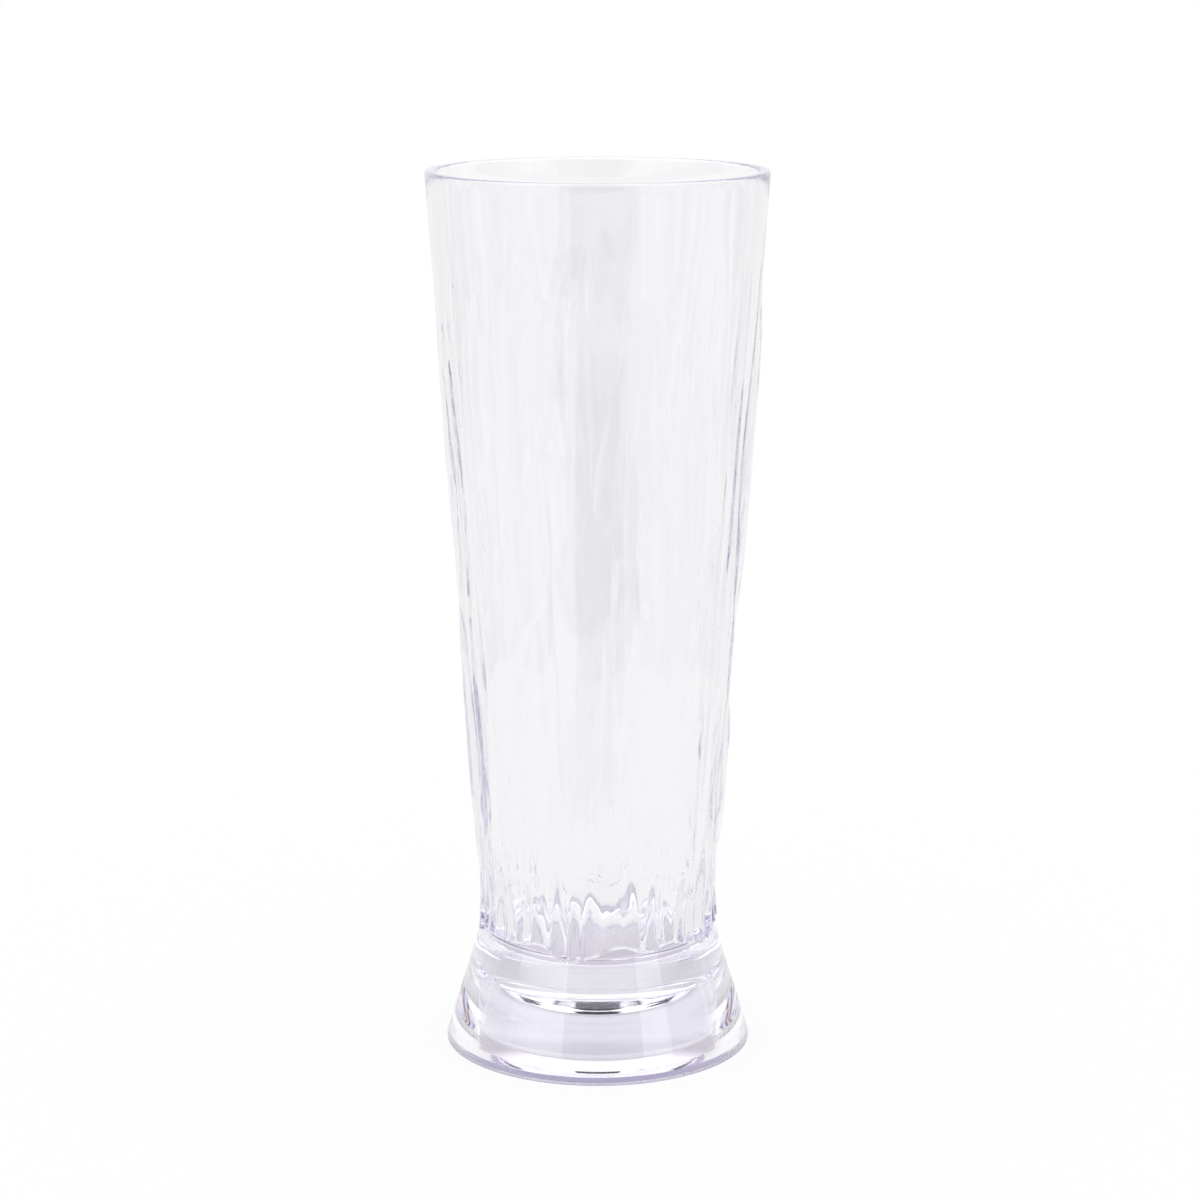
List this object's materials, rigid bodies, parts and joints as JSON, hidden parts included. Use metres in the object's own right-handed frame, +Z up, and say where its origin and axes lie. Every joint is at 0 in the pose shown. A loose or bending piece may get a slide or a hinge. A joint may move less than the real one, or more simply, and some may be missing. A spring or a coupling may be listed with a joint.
{
  "type": "plastic beer glass",
  "caption": "Tall clear plastic beer glass with a bark-like tapered wall, a narrow waist and a flared hollow foot closed by a thick clear base plug.",
  "frame": {"origin": "centre of the foot, on the plane that the glass stands on", "axes": "+Z up along the axis of the glass, through the middle of the rim; +X to the right in the picture"},
  "size_m": [0.08, 0.08, 0.21],
  "materials": {
    "glass_body": "clear, polished as moulded",
    "base_plug": "clear, polished as moulded"
  },
  "bodies": {
    "root": {"glass_body": "glass_body", "base_plug": "base_plug"}
  },
  "joints": []
}
